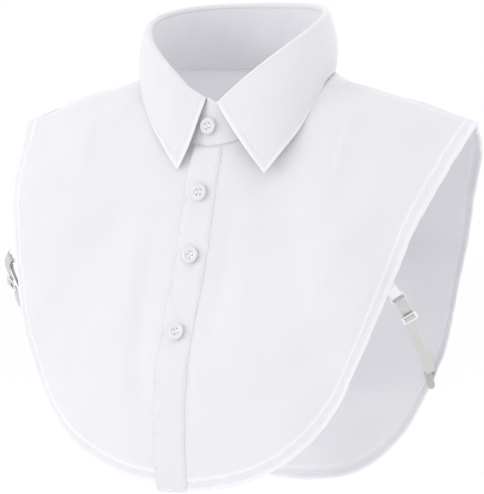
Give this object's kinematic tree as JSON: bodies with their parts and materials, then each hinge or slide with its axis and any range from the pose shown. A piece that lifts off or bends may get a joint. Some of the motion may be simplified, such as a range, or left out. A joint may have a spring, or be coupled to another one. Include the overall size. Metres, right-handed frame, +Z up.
{
  "type": "detachable shirt collar",
  "caption": "White detachable shirt collar: pointed turned-down collar on short buttoned fronts and a back, open at the sides and held there by elastic straps.",
  "frame": {"origin": "middle of the neck opening, level with the points where the shoulder seams meet the neckline", "axes": "+Z up, the wearer faces -Y, +X towards the wearer's left shoulder"},
  "size_m": [0.3566, 0.1906, 0.343],
  "materials": {
    "white_cloth": "smooth plain woven cotton, pressed",
    "white_button": "glossy white",
    "elastic": "ribbed off-white elastic",
    "silver": "bright plated metal"
  },
  "bodies": {
    "root": {"front_left": "white_cloth", "front_right": "white_cloth", "placket": "white_cloth", "back": "white_cloth", "collar_stand": "white_cloth", "collar_fall": "white_cloth", "button_collar": "white_button", "button_1": "white_button", "button_2": "white_button", "button_3": "white_button", "tab_left": "white_cloth", "tab_right": "white_cloth", "ring_left": "silver", "ring_right": "silver", "slider_left": "silver", "slider_right": "silver", "elastic_left": "elastic", "elastic_right": "elastic"}
  },
  "joints": []
}
